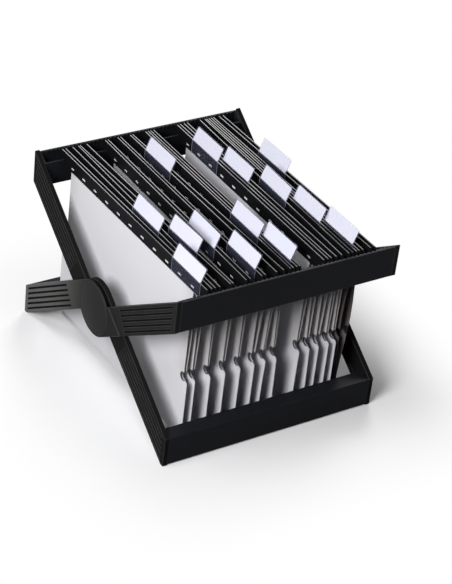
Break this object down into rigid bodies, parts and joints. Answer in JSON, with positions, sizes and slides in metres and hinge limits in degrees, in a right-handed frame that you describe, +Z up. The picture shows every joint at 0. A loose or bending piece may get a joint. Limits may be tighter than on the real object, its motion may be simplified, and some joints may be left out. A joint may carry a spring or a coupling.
{
  "type": "portable file box",
  "caption": "Folding cross-frame stand with a pivot on each side, holding white hanging folders with dark rails and clear label tabs.",
  "frame": {"origin": "on the floor, under the middle of the stand", "axes": "+X along the beams to the right, -Y to the front, +Z up"},
  "size_m": [0.3192, 0.36, 0.259],
  "materials": {
    "arm_plastic": "fine-grained charcoal plastic",
    "beam_plastic": "satin blue-black plastic",
    "cap_plastic": "satin charcoal plastic, bare",
    "pin_steel": "turned",
    "ring_steel": "stamped",
    "card_white": "smooth white card",
    "rail_plastic": "satin black plastic",
    "tab_clear": "clear holder over a white paper label"
  },
  "bodies": {
    "outer_frame": {"outer_left_arm": "arm_plastic", "outer_right_arm": "arm_plastic", "top_front_beam": "beam_plastic", "base_back_beam": "beam_plastic", "left_pivot_pin": "pin_steel", "right_pivot_pin": "pin_steel", "left_retaining_ring": "ring_steel", "right_retaining_ring": "ring_steel", "left_hub_cap": "cap_plastic", "right_hub_cap": "cap_plastic"},
    "inner_frame": {"inner_left_arm": "arm_plastic", "inner_right_arm": "arm_plastic", "top_back_beam": "beam_plastic", "base_front_beam": "beam_plastic"},
    "folder_01": {"folder_01_card": "card_white", "folder_01_rails": "rail_plastic", "folder_01_tab": "tab_clear"},
    "folder_02": {"folder_02_card": "card_white", "folder_02_rails": "rail_plastic", "folder_02_tab": "tab_clear"},
    "folder_03": {"folder_03_card": "card_white", "folder_03_rails": "rail_plastic", "folder_03_tab": "tab_clear"},
    "folder_04": {"folder_04_card": "card_white", "folder_04_rails": "rail_plastic", "folder_04_tab": "tab_clear"},
    "folder_05": {"folder_05_card": "card_white", "folder_05_rails": "rail_plastic", "folder_05_tab": "tab_clear"},
    "folder_06": {"folder_06_card": "card_white", "folder_06_rails": "rail_plastic", "folder_06_tab": "tab_clear"},
    "folder_07": {"folder_07_card": "card_white", "folder_07_rails": "rail_plastic", "folder_07_tab": "tab_clear"},
    "folder_08": {"folder_08_card": "card_white", "folder_08_rails": "rail_plastic", "folder_08_tab": "tab_clear"},
    "folder_09": {"folder_09_card": "card_white", "folder_09_rails": "rail_plastic", "folder_09_tab": "tab_clear"},
    "folder_10": {"folder_10_card": "card_white", "folder_10_rails": "rail_plastic", "folder_10_tab": "tab_clear"},
    "folder_11": {"folder_11_card": "card_white", "folder_11_rails": "rail_plastic", "folder_11_tab": "tab_clear"},
    "folder_12": {"folder_12_card": "card_white", "folder_12_rails": "rail_plastic", "folder_12_tab": "tab_clear"},
    "folder_13": {"folder_13_card": "card_white", "folder_13_rails": "rail_plastic", "folder_13_tab": "tab_clear"},
    "folder_14": {"folder_14_card": "card_white", "folder_14_rails": "rail_plastic", "folder_14_tab": "tab_clear"}
  },
  "joints": [
    {"name": "frame_fold", "type": "hinge", "parent": "outer_frame", "child": "inner_frame", "pos_m": [0, 0, 0.11761], "axis": [1, 0, 0], "range_deg": [0, 111], "deforming": ["folder_01_card", "folder_01_rails", "folder_01_tab", "folder_02_card", "folder_02_rails", "folder_02_tab", "folder_03_card", "folder_03_rails", "folder_03_tab", "folder_04_card", "folder_04_rails", "folder_04_tab", "folder_05_card", "folder_05_rails", "folder_05_tab", "folder_06_card", "folder_06_rails", "folder_06_tab", "folder_07_card", "folder_07_rails", "folder_07_tab", "folder_08_card", "folder_08_rails", "folder_08_tab", "folder_09_card", "folder_09_rails", "folder_09_tab", "folder_10_card", "folder_10_rails", "folder_10_tab", "folder_11_card", "folder_11_rails", "folder_11_tab", "folder_12_card", "folder_12_rails", "folder_12_tab", "folder_13_card", "folder_13_rails", "folder_13_tab", "folder_14_card", "folder_14_rails", "folder_14_tab"]},
    {"name": "folder_01_lift", "type": "slide", "parent": "outer_frame", "child": "folder_01", "axis": [0, 0, 1], "range_m": [0, 0.27]},
    {"name": "folder_02_lift", "type": "slide", "parent": "outer_frame", "child": "folder_02", "axis": [0, 0, 1], "range_m": [0, 0.27]},
    {"name": "folder_03_lift", "type": "slide", "parent": "outer_frame", "child": "folder_03", "axis": [0, 0, 1], "range_m": [0, 0.27]},
    {"name": "folder_04_lift", "type": "slide", "parent": "outer_frame", "child": "folder_04", "axis": [0, 0, 1], "range_m": [0, 0.27]},
    {"name": "folder_05_lift", "type": "slide", "parent": "outer_frame", "child": "folder_05", "axis": [0, 0, 1], "range_m": [0, 0.27]},
    {"name": "folder_06_lift", "type": "slide", "parent": "outer_frame", "child": "folder_06", "axis": [0, 0, 1], "range_m": [0, 0.27]},
    {"name": "folder_07_lift", "type": "slide", "parent": "outer_frame", "child": "folder_07", "axis": [0, 0, 1], "range_m": [0, 0.27]},
    {"name": "folder_08_lift", "type": "slide", "parent": "outer_frame", "child": "folder_08", "axis": [0, 0, 1], "range_m": [0, 0.27]},
    {"name": "folder_09_lift", "type": "slide", "parent": "outer_frame", "child": "folder_09", "axis": [0, 0, 1], "range_m": [0, 0.27]},
    {"name": "folder_10_lift", "type": "slide", "parent": "outer_frame", "child": "folder_10", "axis": [0, 0, 1], "range_m": [0, 0.27]},
    {"name": "folder_11_lift", "type": "slide", "parent": "outer_frame", "child": "folder_11", "axis": [0, 0, 1], "range_m": [0, 0.27]},
    {"name": "folder_12_lift", "type": "slide", "parent": "outer_frame", "child": "folder_12", "axis": [0, 0, 1], "range_m": [0, 0.27]},
    {"name": "folder_13_lift", "type": "slide", "parent": "outer_frame", "child": "folder_13", "axis": [0, 0, 1], "range_m": [0, 0.27]},
    {"name": "folder_14_lift", "type": "slide", "parent": "outer_frame", "child": "folder_14", "axis": [0, 0, 1], "range_m": [0, 0.27]}
  ]
}
